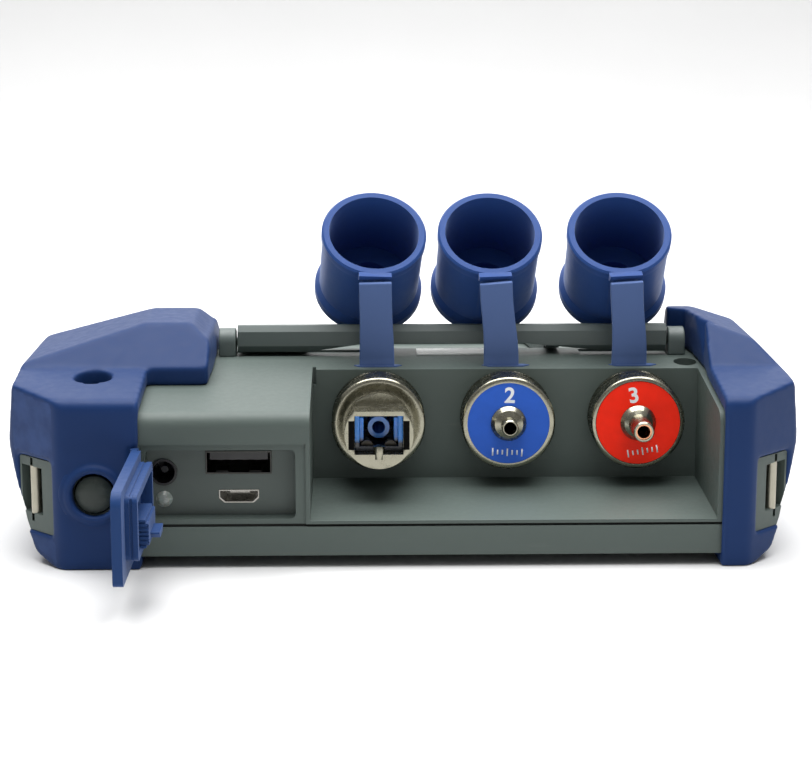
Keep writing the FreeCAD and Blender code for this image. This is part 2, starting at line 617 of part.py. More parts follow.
def sc_adapter():
    """Ring with a round boss, milled flat on top, round the square opening."""
    x, z, y0, tip = PORT_X[0], PORT_Z, RING_FRONT, RING_FRONT - SC_BOSS_L
    web = y0 + BOSS_PLUG_L
    body = knurled_ring(x, [(STUB_R, web), (0, web), (0, tip), (SC_BOSS_R, tip), (SC_BOSS_R, y0 + 0.4)])
    body = body.cut(box(x - RING_R, x + RING_R, tip - 1, tip + SC_FLAT_L, z + SC_FLAT_Z, z + RING_R))
    body = body.cut([prism_y(around(x, z, SC_W, SC_H), tip - 1, web + 1),
                     prism_y(around(x, z, SC_SLOT_W, SC_SLOT_H), tip - 1, tip + SC_SLOT_L)])
    key = cyl_z(SC_KEY_R, z - SC_KEY_LOW, z - SC_KEY_TOP, x, tip + SC_KEY_R - 0.3)
    return body.fuse(key)


def sc_insert():
    """Blue connector receptacle, open along its top."""
    x, z, t = PORT_X[0], PORT_Z, 2 * SC_WALL
    y0, y1 = RING_FRONT - SC_BOSS_L + SC_SET_BACK, RECESS_DEPTH + SC_BACK
    w, h = SC_W - 2 * RUN_FIT, SC_H - 2 * RUN_FIT
    body = prism_y(around(x, z, w, h), y0, y1)
    body = body.cut(prism_y(around(x, z + SC_WALL, w - t, h), y0 - 1, y1 - 1.2))
    lugs = [box(a, a + 1.7, y0 + 2, y1, z - 2.4, z + 2.4) for a in (x - w / 2, x + w / 2 - 1.7)]
    return body.fuse(lugs)


def sc_sleeve():
    y0, y1 = RING_FRONT - SC_BOSS_L + SLEEVE_SET_BACK, RECESS_DEPTH + SC_BACK - 1.2
    return tube_y(SLEEVE_BORE_R, SLEEVE_R, y0, y1, PORT_X[0])


def round_adapter(x, disc_r):
    """Knurled ring with a seat for its label disc and a hole for its nozzle."""
    web, seat = RING_FRONT + BOSS_PLUG_L, RING_FRONT + DISC_T + 0.1
    return knurled_ring(x, [(STUB_R, web), (BOSS_R, web), (BOSS_R, seat), (disc_r, seat), (disc_r, RING_FRONT)])


def ferrule_nozzle(x, nozzle_r, nozzle_l, bore_r):
    """Turned boss and tube that takes a round ferrule."""
    web, neck = RING_FRONT + BOSS_PLUG_L, RING_FRONT - BOSS_L
    tip = neck - nozzle_l
    tube = [(bore_r, web), (bore_r, tip), (nozzle_r - 0.2, tip), (nozzle_r, tip + 0.25), (nozzle_r, neck)]
    boss = [(BOSS_R - 0.7, neck + 0.5), (BOSS_R, neck + 1.3), (BOSS_R, web)]
    return turned_y(tube + boss, x, PORT_Z)


def label_disc(x, disc_r):
    y0 = RING_FRONT + 0.1
    return tube_y(BOSS_R, disc_r, y0, y0 + DISC_T, x)


def vfl_liner():
    tip = RING_FRONT - BOSS_L - NOZZLE_L[1]
    return tube_y(FERRULE_BORE_R, VFL_LINER_R, tip + 0.3, RING_FRONT + BOSS_PLUG_L, PORT_X[2])


# ---- dust caps ----

def lean(shape, i):
    """Lean a strap or cap sideways about the axis of its port."""
    s = shape.copy()
    s.rotate(V(PORT_X[i], 0, PORT_Z), V(0, 1, 0), -CAP_LEAN[i])
    return s


def cap_strap(i):
    x, r, c = PORT_X[i], STRAP_T / 2, CREASE
    length = math.hypot(c[0] - STRAP_Y, c[1] - STRAP_Z)
    w0, w1 = STRAP_W0 / 2, STRAP_W1 / 2
    waist = length * 0.55
    flat = [(x - w0, 0), (x + w0, 0), (x + w1, waist), (x + w1, length), (x - w1, length), (x - w1, waist)]
    body = prism_y(flat, -r, r).fuse([cyl_x(r, x - w0, x + w0, 0, 0), cyl_x(r, x - w1, x + w1, 0, length)])
    body.rotate(V(0, 0, 0), V(1, 0, 0), math.degrees(math.atan2(STRAP_Y - c[0], c[1] - STRAP_Z)))
    body.translate(V(0, STRAP_Y, STRAP_Z))
    return lean(body, i)


def dust_cap(i):
    """Cup on the Y axis with its mouth at y = 0, then swung to its rest pose."""
    x, base, floor = PORT_X[i], CAP_LEN, CAP_LEN - CAP_FLOOR
    outside = [(0, base), (CAP_BASE_R - 1.0, base), (CAP_BASE_R, base - 0.9), (CAP_BASE_R, base - 2.6),
               (CAP_R, base - 4.0), (CAP_R, 2.6), (CAP_RIM_R, 1.9), (CAP_RIM_R, 0.4), (CAP_RIM_R - 0.4, 0)]
    inside = [(CAP_BORE_R, 0), (CAP_BORE_R, floor), (CAP_DIMPLE_R, floor), (CAP_DIMPLE_R, floor + CAP_DIMPLE),
              (0, floor + CAP_DIMPLE)]
    cup = turned_y(outside + inside, x, 0)
    # tab from the rim to the fold, which lies below the mouth in this pose
    dy, dz = CREASE[0] - RIM_C[0], CREASE[1] - RIM_C[1]
    fy, fz = (dy - dz) * HALF_SQRT, (dy + dz) * HALF_SQRT
    w, gap, t = STRAP_W1 / 2, STRAP_T / 2 + HINGE_CLEAR, STRAP_T / 2
    tab = [(fy - t, fz + gap), (fy + t, fz + gap), (4 * t, 0.3 - CAP_R), (0.0, 0.3 - CAP_R)]
    cup = cup.fuse(prism_x(tab, x - w, x + w))
    cup.rotate(V(x, 0, fz), V(0, 0, 1), CAP_YAW[i])
    cup.rotate(V(x, 0, 0), V(1, 0, 0), -45)
    cup.translate(V(0, RIM_C[0], RIM_C[1]))
    return lean(cup, i)


# ---- stand ----

def stand():
    top, low, mid, y0 = STAND_TOP_Z, STAND_LOW_Z, STAND_MID_Z, STAND_Y
    py, pz = STAND_PIVOT
    outline = [(y0, low + 1.4), (y0, top - 1.2), (y0 + 0.9, top), (py, top), (py + 2.0, pz + 1.25),
               (py + 2.15, pz), (py + 1.8, low), (y0 + 1.1, low)]
    bar = prism_x(outline, STAND_X0, STAND_X1)
    x0, x1 = LEG_LEFT[1], LEG_RIGHT[0]
    arch = [(x0, -FAR), (x0, low), (x0 + 11.0, mid, 2.0), (x1 - 4.0, mid, 2.0), (x1 + 12.0, low),
            (x1 + 12.0, -FAR)]
    bar = bar.cut(prism_y(arch, -FAR, FAR))
    end, knee = CASE_LEN - STAND_END, BAIL_STEP_Y + 3.0
    z1, z2 = back_z(knee) + LEG_CLEAR, back_z(end) + LEG_CLEAR
    leg = [(py + 1.0, pz - 0.8), (py + 1.6, low + 0.2), (knee - 2, low + 0.2), (knee, z1), (end, z2, 1.0),
           (end, z2 + LEG_T, 1.0), (knee - 1, pz + 0.8), (py + 2.2, pz + 1.1), (py + 1.0, pz + 0.8)]
    legs = [prism_x(leg, *LEG_LEFT), prism_x(leg, *LEG_RIGHT)]
    legs.append(prism_x(leg, LEG_LEFT[0], LEG_RIGHT[1]).common(box(-FAR, FAR, end - STAND_FOOT, FAR, 0, FAR)))
    r = STAND_PIN_R + RUN_FIT
    bores = [cyl_x(r, STAND_X0 - 1, STAND_X0 + STAND_PIN_L + RUN_FIT, py, pz),
             cyl_x(r, STAND_X1 - STAND_PIN_L - RUN_FIT, STAND_X1 + 1, py, pz)]
    return bar.fuse(legs).cut(bores)


def stand_pin(x_end, side):
    """Moulded knuckle on the housing with the pin that the bar turns on."""
    y, z = STAND_PIVOT
    near = x_end + side * KNUCKLE_GAP
    far = near + side * KNUCKLE_W
    tip = x_end - side * STAND_PIN_L
    knuckle = cyl_x(KNUCKLE_R, min(near, far), max(near, far), y, z)
    foot = box(min(near, far), max(near, far), y - KNUCKLE_R, y + KNUCKLE_R, TOP_REAR_Z, z)
    pin = cyl_x(STAND_PIN_R, min(tip, far), max(tip, far), y, z)
    return knuckle.fuse([foot, pin]).cut(case_envelope())


# ---- door ----

def seal_rim():
    """Grooved seal that plugs the bay when the door is shut."""
    t, g, y0, y1 = SEAL_RIM_T, RIM_GAP, -DOOR_GAP, SEAL_RIM_H - DOOR_GAP
    x0, x1, z0, z1 = BAY_X0 + g, BAY_X1 - g, BAY_Z0 + g, BAY_Z1 - g
    rim = prism_y(rect(x0, x1, z0, z1, 1.4), y0 - 0.1, y1)
    rim = rim.cut(prism_y(rect(x0 + t, x1 - t, z0 + t, z1 - t), y0, y1 + 1))
    ring = prism_y(rect(x0 - 1, x1 + 1, z0 - 1, z1 + 1), y0 + 0.8, y0 + 1.3)
    return rim.cut(ring.cut(prism_y(rect(x0 + 0.3, x1 - 0.3, z0 + 0.3, z1 - 0.3), y0, y1)))


def ribbed_plug():
    """Finger plug with ribs along its length and a tip for the small socket."""
    x, z, w, h, y0 = MICRO_X, PLUG_Z, PLUG_W, PLUG_H, -DOOR_GAP
    pitch = h / PLUG_RIBS
    parts = [prism_y(micro_outline(MICRO_WALL + PLUG_FIT), y0, y0 + PLUG_TIP_L)]
    for side in (-1, 1):
        edge = x + side * w / 2
        for i in range(PLUG_RIBS):
            low = z - h / 2 + i * pitch
            parts.append(prism_y([(edge, low), (edge + side * RIB_H, low + pitch / 2), (edge, low + pitch),
                                  (edge - side, low + pitch), (edge - side, low)], y0 - 0.1, y0 + PLUG_L))
    return box(x - w / 2, x + w / 2, y0 - 0.1, y0 + PLUG_L, z - h / 2, z + h / 2).fuse(parts)


def port_door():
    """Built closed, then swung open about its hinge bead."""
    x0, y0, x1 = HINGE_X, HINGE_Y, HINGE_X + DOOR_L
    inner = -DOOR_GAP
    outline = [(x0 + 1.3, DOOR_Z0), (x1, DOOR_Z0, 1.0), (x1, DOOR_Z1, 2.6), (x0 + 1.3, DOOR_Z1)]
    plate = prism_y(outline, inner - DOOR_T, inner)
    bead = cyl_z(HINGE_R, DOOR_Z0, DOOR_Z1, x0, y0)
    neck = box(x0, x0 + 2.2, y0 - 0.4, y0 + 0.5, DOOR_Z0, DOOR_Z1)
    door = plate.fuse([bead, neck, seal_rim(), ribbed_plug()]).removeSplitter()
    door.rotate(V(x0, y0, 0), V(0, 0, 1), -DOOR_OPEN)
    return door


# ---- small parts ----

def power_button():
    y, back = BOOT_Y0, POWER_DEPTH - POWER_STROKE - 0.4
    crown = [(0, y - 0.45), (2.2, y - 0.3), (POWER_R, y + 0.4)]
    return turned_y(crown + [(POWER_R, back), (0, back)], POWER_X, POWER_Z)


def window_glass():
    x0, x1, y0, y1 = WINDOW
    z, c = CASE_Z0 + WINDOW_SET, INSIDE_FIT
    return prism_z(rect(x0 + c, x1 - c, y0 + c, y1 - c, 3.0 - c), z, z + WINDOW_T - 0.02)


def lcd_module():
    x0, x1, y0, y1 = WINDOW
    z, c = CASE_Z0 + WINDOW_SET + WINDOW_T, WINDOW_LEDGE + INSIDE_FIT
    return box(x0 + c, x1 - c, y0 + c, y1 - c, z, z + LCD_T - RUN_FIT)


def inset(b):
    c = INSIDE_FIT
    return box(b[0] + c, b[1] - c, b[2] + c, b[3] - c, b[4] + c, b[5] - c)


def housing_screws():
    z, slot = CASE_Z0, SCREW_HEAD_R / 2
    screws = []
    for x, y in SCREW_SPOTS:
        shank = cyl_z(SCREW_R - 0.02, z + 1.5, SCREW_TOP, x, y)
        head = cyl_z(SCREW_HEAD_R - 0.1, z + 0.5, z + SCREW_SINK - 0.02, x, y)
        screws.append(shank.fuse(head).cut(box(x - slot, x + slot, y - 0.4, y + 0.4, z, z + 1.2)))
    return Part.makeCompound(screws)


def label_plate():
    x0, x1, y0, y1 = LABEL
    return box(x0, x1, y0, y1, TOP_REAR_Z, TOP_BAIL_Z + LABEL_T).cut(case_envelope())


def build():
    px = PORT_X
    shapes = {
        "rear_housing": rear_housing(), "front_housing": front_housing(), "housing_seal": housing_seal(),
        "boot_front_left": boot_front_left(), "boot_front_right": boot_front_right(),
        "boot_rear_left": rear_boot(-1), "boot_rear_right": rear_boot(1),
        "port_door": port_door(), "power_button": power_button(),
        "strap_anchor_left": strap_anchor(), "strap_anchor_right": mirrored(strap_anchor()),
        "strap_pin_left": strap_pin(), "strap_pin_right": mirrored(strap_pin()),
        "port_panel": port_panel(), "usb_a_shell": usb_a_shell(), "usb_a_tongue": usb_a_tongue(),
        "micro_usb_socket": micro_usb_socket(), "dc_jack": dc_jack(), "charge_led": charge_led(),
        "otdr_adapter": sc_adapter(), "otdr_insert": sc_insert(), "otdr_sleeve": sc_sleeve(),
        "opm_adapter": round_adapter(px[1], DISC_R[0]), "opm_disc": label_disc(px[1], DISC_R[0]),
        "opm_nozzle": ferrule_nozzle(px[1], NOZZLE_R[0], NOZZLE_L[0], FERRULE_BORE_R),
        "vfl_adapter": round_adapter(px[2], DISC_R[1]), "vfl_disc": label_disc(px[2], DISC_R[1]),
        "vfl_nozzle": ferrule_nozzle(px[2], NOZZLE_R[1], NOZZLE_L[1], VFL_LINER_R), "vfl_liner": vfl_liner(),
        "stand": stand(), "stand_pin_left": stand_pin(STAND_X0, -1), "stand_pin_right": stand_pin(STAND_X1, 1),
        "display_window": window_glass(), "lcd_module": lcd_module(),
        "main_board": inset(BOARD), "battery_pack": inset(BATTERY), "optics_module": inset(OPTICS),
        "housing_screws": housing_screws(), "label_plate": label_plate(),
    }
    for i, name in enumerate(("otdr", "opm", "vfl")):
        shapes["bulkhead_" + name] = bulkhead(px[i])
        shapes["cap_" + name] = dust_cap(i)
        shapes["strap_" + name] = cap_strap(i)
        shapes["strap_root_" + name] = strap_seat(px[i], 0, ROOT_Z0, ROOT_Z1)
    for name, x, y, w, h, r in keys():
        shapes[name] = key_shape(x, y, w, h, r)
    return shapes


def export(shapes):
    os.makedirs("parts", exist_ok=True)
    total = None
    for s in shapes.values():
        b = s.BoundBox
        total = b if total is None else total.united(b)
    shift = V(-(total.XMin + total.XMax) / 2, -(total.YMin + total.YMax) / 2, -total.ZMin)
    print("shift", shift, "size", total.XLength, total.YLength, total.ZLength)
    for name, s in shapes.items():
        s = s.copy()
        s.translate(shift)
        s.exportStep("parts/%s.step" % name)
        print(name, "solids", len(s.Solids), "valid", s.isValid(), "vol %.1f" % s.Volume)


export(build())
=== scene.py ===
import json
import math

import bmesh
import bpy
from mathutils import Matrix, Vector


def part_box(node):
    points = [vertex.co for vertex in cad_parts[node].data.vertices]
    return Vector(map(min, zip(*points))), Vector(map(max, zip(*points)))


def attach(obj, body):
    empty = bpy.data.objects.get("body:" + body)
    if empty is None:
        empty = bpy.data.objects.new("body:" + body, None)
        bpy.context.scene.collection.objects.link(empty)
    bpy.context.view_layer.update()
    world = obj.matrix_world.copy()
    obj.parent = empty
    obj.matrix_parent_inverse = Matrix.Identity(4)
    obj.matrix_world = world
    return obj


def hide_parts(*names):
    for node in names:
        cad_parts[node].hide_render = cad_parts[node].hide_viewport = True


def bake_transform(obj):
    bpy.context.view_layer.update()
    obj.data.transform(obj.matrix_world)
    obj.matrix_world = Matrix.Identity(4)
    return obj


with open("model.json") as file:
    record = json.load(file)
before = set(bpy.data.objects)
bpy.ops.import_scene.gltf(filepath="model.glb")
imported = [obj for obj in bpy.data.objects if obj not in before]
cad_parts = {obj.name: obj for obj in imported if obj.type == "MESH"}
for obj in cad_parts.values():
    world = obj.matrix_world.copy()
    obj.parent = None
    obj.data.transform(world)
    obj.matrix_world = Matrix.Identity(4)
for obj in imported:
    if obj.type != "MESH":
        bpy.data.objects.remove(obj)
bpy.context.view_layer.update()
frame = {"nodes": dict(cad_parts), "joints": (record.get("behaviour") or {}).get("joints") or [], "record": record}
NODES = frame["nodes"]
JOINTS = {j["name"]: j for j in frame["joints"]}
SLOT_OF = {s["node"]: s["material_slot"] for s in frame["record"]["subparts"]}
BODY_OF = {n: b for b, ns in frame["record"]["behaviour"]["bodies"].items() for n in ns}
MM = 0.001
PORTS = ("otdr", "opm", "vfl")


def mm(*values):
    """Vector in metres from millimetres."""
    return Vector([v * MM for v in values])


def port_axis(name):
    """Centre of an adapter's front, from its CAD box."""
    lo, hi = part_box(name + "_adapter")
    return Vector(((lo.x + hi.x) / 2, lo.y, (lo.z + hi.z) / 2))


# ---------------------------------------------------------------- materials


class Nodes:
    """Small helper round one material's node tree."""

    def __init__(self, name):
        self.mat = bpy.data.materials.new(name)
        self.mat.use_nodes = True
        self.tree = self.mat.node_tree
        self.tree.nodes.clear()
        out = self.tree.nodes.new("ShaderNodeOutputMaterial")
        self.shader = self.tree.nodes.new("ShaderNodeBsdfPrincipled")
        self.link(self.shader.outputs[0], out.inputs[0])
        self.coords = self.tree.nodes.new("ShaderNodeTexCoord").outputs["Object"]

    def link(self, a, b):
        self.tree.links.new(a, b)

    def node(self, kind, **inputs):
        n = self.tree.nodes.new("ShaderNode" + kind)
        for key, value in inputs.items():
            n.inputs[key].default_value = value
        return n

    def put(self, **values):
        for key, value in values.items():
            self.shader.inputs[key.replace("_", " ")].default_value = value

    def noise(self, scale, detail=3.0, rough=0.55, stretch=None):
        n = self.node("TexNoise", Scale=scale, Detail=detail, Roughness=rough)
        source = self.coords
        if stretch:
            m = self.node("Mapping")
            m.inputs["Scale"].default_value = stretch
            self.link(source, m.inputs["Vector"])
            source = m.outputs[0]
        self.link(source, n.inputs["Vector"])
        return n.outputs["Fac"]

    def ramp(self, source, low, high, a=0.0, b=1.0):
        n = self.tree.nodes.new("ShaderNodeMapRange")
        n.inputs["From Min"].default_value = low
        n.inputs["From Max"].default_value = high
        n.inputs["To Min"].default_value = a
        n.inputs["To Max"].default_value = b
        self.link(source, n.inputs["Value"])
        return n.outputs[0]

    def mottle(self, scale, detail, low=0.0, high=1.0):
        """Noise with its middle stretched over the whole of low to high."""
        return self.ramp(self.noise(scale, detail), 0.3, 0.7, low, high)

    def share(self, source, amount):
        """Source times a number or times another socket."""
        return self.math("MULTIPLY", source, amount)

    def math(self, op, a, b=0.0):
        n = self.tree.nodes.new("ShaderNodeMath")
        n.operation = op
        for i, v in enumerate((a, b)):
            if isinstance(v, (int, float)):
                n.inputs[i].default_value = v
            else:
                self.link(v, n.inputs[i])
        return n.outputs[0]

    def mix(self, factor, a, b):
        n = self.tree.nodes.new("ShaderNodeMix")
        n.data_type = "RGBA"
        for socket, v in ((n.inputs[0], factor), (n.inputs[6], a), (n.inputs[7], b)):
            if hasattr(v, "is_output"):
                self.link(v, socket)
            else:
                socket.default_value = v
        return n.outputs[2]

    def colour(self, source):
        self.link(source, self.shader.inputs["Base Color"])

    def roughness(self, source):
        self.link(source, self.shader.inputs["Roughness"])

    def bump(self, layers):
        """layers: (height socket, distance in metres, strength)."""
        last = None
        for height, distance, strength in layers:
            b = self.node("Bump", Strength=strength, Distance=distance)
            self.link(height, b.inputs["Height"])
            if last:
                self.link(last, b.inputs["Normal"])
            last = b.outputs[0]
        self.link(last, self.shader.inputs["Normal"])

    def edge(self, low, high):
        """Rises from 0 on flat faces to 1 on sharp outer edges."""
        g = self.tree.nodes.new("ShaderNodeNewGeometry")
        return self.ramp(g.outputs["Pointiness"], low, high)


def rgba(c, k=1.0):
    """Colour c made k times as bright, with its alpha."""
    return (c[0] * k, c[1] * k, c[2] * k, 1.0)


def moulded(name, colour, rough=0.50, specular=0.32):
    """Fine-textured moulded plastic with slight colour drift, dust and short scuffs."""
    m = Nodes(name)
    drift = m.mottle(30.0, 3.0)
    base = m.mix(drift, rgba(colour, 0.98), rgba(colour, 1.02))
    dust = m.ramp(m.noise(420.0, 6.0, 0.7), 0.60, 0.80)
    base = m.mix(m.share(dust, 0.018), base, rgba((0.40, 0.41, 0.38)))
    scuff = m.ramp(m.noise(500.0, 4.0, 0.55, (0.12, 1.0, 1.0)), 0.66, 0.74)
    base = m.mix(m.share(scuff, 0.035), base, rgba((0.34, 0.37, 0.35)))
    m.colour(base)
    m.roughness(m.mottle(900.0, 4.0, rough - 0.03, rough + 0.05))
    m.put(Specular_IOR_Level=specular)
    m.bump([(m.noise(3600.0, 2.0, 0.6), 0.00001, 0.5)])
    return m.mat


def rubber(name, colour, rough=0.46, bloom=0.04, sheen=0.05, specular=0.13, wear=0.0):
    """Soft matt rubber: faint bloom, fine blasted grain and, with wear, lighter rubbed edges."""
    m = Nodes(name)
    drift = m.mottle(45.0, 4.0)
    base = m.mix(drift, rgba(colour, 0.97), rgba(colour, 1.03))
    haze = m.ramp(m.noise(300.0, 6.0, 0.7), 0.52, 0.80)
    base = m.mix(m.share(haze, bloom), base, rgba((0.10, 0.16, 0.34)))
    rub = m.share(m.edge(0.51, 0.60), m.mottle(240.0, 4.0))
    base = m.mix(m.share(rub, wear), base, rgba((0.05, 0.10, 0.28)))
    m.colour(base)
    m.roughness(m.mottle(600.0, 4.0, rough - 0.04, rough + 0.06))
    m.put(Specular_IOR_Level=specular, Sheen_Weight=sheen)
    m.put(Sheen_Roughness=0.45, Sheen_Tint=(0.5, 0.62, 1.0, 1.0))
    scratch = m.ramp(m.noise(420.0, 3.0, 0.5, (0.25, 1.0, 3.0)), 0.64, 0.72)
    grain = m.noise(3000.0, 3.0, 0.65)
    m.bump([(grain, 0.00001, 0.5), (scratch, 0.00002, 0.25), (m.noise(200.0, 2.0), 0.00003, 0.06)])
    return m.mat


RING_PHASE = 26000.0        # radians of the tool rings' wave for each metre of radius


def turned_nickel(name, centre, colour=(0.29, 0.28, 0.22), rough=0.22):
    """Nickel-plated brass turned about the port's axis, with faint tool rings."""
    m = Nodes(name)
    shift = m.node("Mapping")
    shift.inputs["Location"].default_value = (-centre.x, 0.0, -centre.z)
    m.link(m.coords, shift.inputs["Vector"])
    split = m.node("SeparateXYZ")
    m.link(shift.outputs[0], split.inputs[0])
    across = m.math("POWER", split.outputs["X"], 2.0)
    up = m.math("POWER", split.outputs["Z"], 2.0)
    radius = m.math("SQRT", m.math("ADD", across, up))
    rings = m.math("SINE", m.share(radius, RING_PHASE))
    stain = m.ramp(m.noise(260.0, 6.0, 0.65), 0.38, 0.72)
    base = m.mix(m.share(stain, 0.20), rgba(colour, 1.05), rgba((0.20, 0.175, 0.12)))
    m.colour(base)
    m.put(Metallic=1.0)
    m.roughness(m.ramp(m.noise(700.0, 5.0), 0.3, 0.75, rough - 0.05, rough + 0.12))
    m.bump([(rings, 0.000004, 0.35), (m.noise(1500.0, 4.0), 0.00001, 0.2)])
    return m.mat


def metal(name, colour, rough=0.3, streak=(1.0, 1.0, 8.0), dirt=0.2):
    """Drawn or pressed metal with fine streaks and a few darker stains."""
    m = Nodes(name)
    stain = m.ramp(m.noise(300.0, 6.0, 0.6), 0.4, 0.75)
    m.colour(m.mix(m.share(stain, dirt), rgba(colour), rgba(colour, 0.45)))
    m.put(Metallic=1.0)
    lines = m.noise(2600.0, 3.0, 0.6, streak)
    m.roughness(m.ramp(lines, 0.3, 0.7, rough - 0.08, rough + 0.10))
    m.bump([(lines, 0.000006, 0.4)])
    return m.mat


def glossy(name, colour, rough=0.28, coat=0.0, fleck=0.04, specular=0.5):
    """Smooth hard plastic or paint with a faint fleck."""
    m = Nodes(name)
    m.colour(m.mix(m.mottle(140.0, 4.0), rgba(colour, 1 - fleck), rgba(colour, 1 + fleck)))
    m.roughness(m.mottle(500.0, 4.0, rough - 0.05, rough + 0.07))
    m.put(Coat_Weight=coat, Coat_Roughness=0.15, Specular_IOR_Level=specular)
    m.bump([(m.noise(1800.0, 3.0), 0.000008, 0.25)])
    return m.mat


def receptacle_painted_shade(name, axis_z, painted_shade_depth=1.7):
    """Bright blue moulding whose floor, below the latches, is painted nearly black as shade."""
    m = Nodes(name)
    split = m.node("SeparateXYZ")
    m.link(m.coords, split.inputs[0])
    # painted shade: below this height the blue fades to nearly black
    low = axis_z - painted_shade_depth * MM
    rise = m.ramp(split.outputs["Z"], low - 0.5 * MM, low + 0.3 * MM)
    bright = m.mix(m.mottle(300.0, 4.0), rgba((0.018, 0.26, 0.86)), rgba((0.024, 0.30, 0.96)))
    m.colour(m.mix(rise, rgba((0.003, 0.008, 0.020)), bright))
    m.roughness(m.mottle(500.0, 4.0, 0.22, 0.34))
    m.put(Coat_Weight=0.3, Coat_Roughness=0.15)
    m.bump([(m.noise(1800.0, 3.0), 0.000008, 0.25)])
    return m.mat


def printed_disc(name, colour):
    """Printed disc: solid colour with faint mottling, a few scuffs and a soft gloss."""
    m = Nodes(name)
    base = m.mix(m.mottle(600.0, 5.0), rgba(colour, 0.96), rgba(colour, 1.03))
    scuff = m.ramp(m.noise(120.0, 8.0, 0.75), 0.66, 0.82)
    m.colour(m.mix(m.share(scuff, 0.08), base, rgba((0.6, 0.6, 0.6))))
    m.roughness(m.mottle(800.0, 3.0, 0.36, 0.46))
    m.put(Specular_IOR_Level=0.12)
    m.bump([(m.noise(1400.0, 2.0), 0.000008, 0.2)])
    return m.mat


def window_pane(name):
    """Dark glass over the display, with finger smears."""
    m = Nodes(name)
    smear = m.ramp(m.noise(60.0, 7.0, 0.7), 0.4, 0.75)
    m.colour(m.mix(smear, rgba((0.008, 0.009, 0.011)), rgba((0.016, 0.017, 0.020))))
    m.roughness(m.ramp(smear, 0.0, 1.0, 0.05, 0.16))
    m.put(Coat_Weight=0.6, Coat_Roughness=0.04)
    m.bump([(m.noise(40.0, 2.0), 0.00005, 0.03)])
    return m.mat


def frosted(name):
    """Cloudy light guide."""
    m = Nodes(name)
    cloud = m.mottle(900.0, 4.0)
    m.colour(m.mix(cloud, rgba((0.20, 0.23, 0.21)), rgba((0.30, 0.33, 0.31))))
    m.roughness(m.ramp(cloud, 0.0, 1.0, 0.22, 0.34))
    m.put(Coat_Weight=0.5, Coat_Roughness=0.1, Subsurface_Weight=0.2, Subsurface_Scale=0.001)
    m.bump([(m.noise(2500.0, 3.0), 0.00001, 0.3)])
    return m.mat


GREY = (0.076, 0.098, 0.089)
BLUE = (0.0085, 0.029, 0.106)


def make_materials():
    """Every material by its name; the nickel is turned about each port's own axis."""
    made = {
        "case_grey": moulded("case_grey", GREY),
        "panel_grey": moulded("panel_grey", (0.086, 0.104, 0.096), rough=0.55),
        "stand_grey": moulded("stand_grey", (0.082, 0.104, 0.098), rough=0.42, specular=0.42),
        "power_grey": moulded("power_grey", (0.028, 0.036, 0.031), rough=0.40),
        "boot_blue": rubber("boot_blue", BLUE, bloom=0.025, wear=0.35),
        "door_blue": rubber("door_blue", (0.012, 0.040, 0.135), bloom=0.025, sheen=0.15),
        "cap_blue": rubber("cap_blue", (0.018, 0.056, 0.205), bloom=0.04, sheen=0.30),
        # lighter copy of the cap rubber: painted light on the straps
        "strap_blue": rubber("strap_blue", (0.072, 0.120, 0.275), bloom=0.04, sheen=0.10),
        "gasket": rubber("gasket", (0.010, 0.011, 0.010), rough=0.6, bloom=0.03, sheen=0.0),
        "pin_steel": metal("pin_steel", (0.40, 0.38, 0.31), 0.42),
        "socket_metal": metal("socket_metal", (0.34, 0.33, 0.30), 0.30),
        "usb_dark": metal("usb_dark", (0.055, 0.055, 0.052), 0.36),
        "black_plastic": glossy("black_plastic", (0.010, 0.010, 0.010), 0.35),
        "lens_clear": frosted("lens_clear"),
        # the receptacle's floor is painted dark as shade
        "sc_blue": receptacle_painted_shade("sc_blue", port_axis("otdr").z),
        "latch_brown": glossy("latch_brown", (0.075, 0.060, 0.036), 0.35),
        # painted shadow for the side slots of the square opening
        "slot_black": glossy("slot_black", (0.003, 0.003, 0.003), 0.7, specular=0.05),
        "ceramic": glossy("ceramic", (0.045, 0.24, 0.72), 0.20, coat=0.4),
        "copper": metal("copper", (0.78, 0.36, 0.20), 0.25),
        "window_glass": window_pane("window_glass"),
        "lcd": glossy("lcd", (0.03, 0.03, 0.035), 0.3),
        "board_green": glossy("board_green", (0.02, 0.12, 0.05), 0.4),
        "battery_wrap": glossy("battery_wrap", (0.04, 0.04, 0.045), 0.4),
        "module_metal": metal("module_metal", (0.6, 0.6, 0.6), 0.35),
        "screw_steel": metal("screw_steel", (0.20, 0.20, 0.20), 0.35),
        "label_white": glossy("label_white", (0.93, 0.94, 0.91), 0.45),
        "key_grey": rubber("key_grey", (0.030, 0.034, 0.037), rough=0.55, bloom=0.05, sheen=0.05),
        "mark_white": glossy("mark_white", (0.80, 0.82, 0.84), 0.4),
        "disc_blue": printed_disc("disc_blue", (0.028, 0.115, 0.56)),
        "disc_red": printed_disc("disc_red", (0.98, 0.022, 0.004)),
    }
    for port in PORTS:
        made["nickel_" + port] = turned_nickel("nickel_" + port, port_axis(port))
    return made


MATERIALS = make_materials()

# nodes whose look differs from the rest of their slot
SPECIAL = {"power_button": "power_grey", "usb_a_shell": "usb_dark", "port_door": "door_blue"}


def material_for(node):
    """Material of a CAD node, from its slot or its name."""
    slot = SLOT_OF[node]
    if slot == "nickel":
        return MATERIALS["nickel_" + next(p for p in PORTS if p in node)]
    if slot == "boot_blue" and node.startswith("cap_"):
        return MATERIALS["cap_blue"]
    # the straps get the copy with painted light
    if slot == "boot_blue" and node.startswith("strap_"):
        return MATERIALS["strap_blue"]
    if node.startswith("stand"):
        return MATERIALS["stand_grey"]
    if node in SPECIAL:
        return MATERIALS[SPECIAL[node]]
    return MATERIALS[slot]


# ---------------------------------------------------------------- pieces
# sizes in the named values below are millimetres, except where they say otherwise


def set_material(obj, material):
    if obj.material_slots:
        for s in obj.material_slots:
            s.material = material
    else:
        obj.data.materials.append(material)


def add_object(name, data):
    piece = bpy.data.objects.new(name, data)
    bpy.context.scene.collection.objects.link(piece)
    return piece


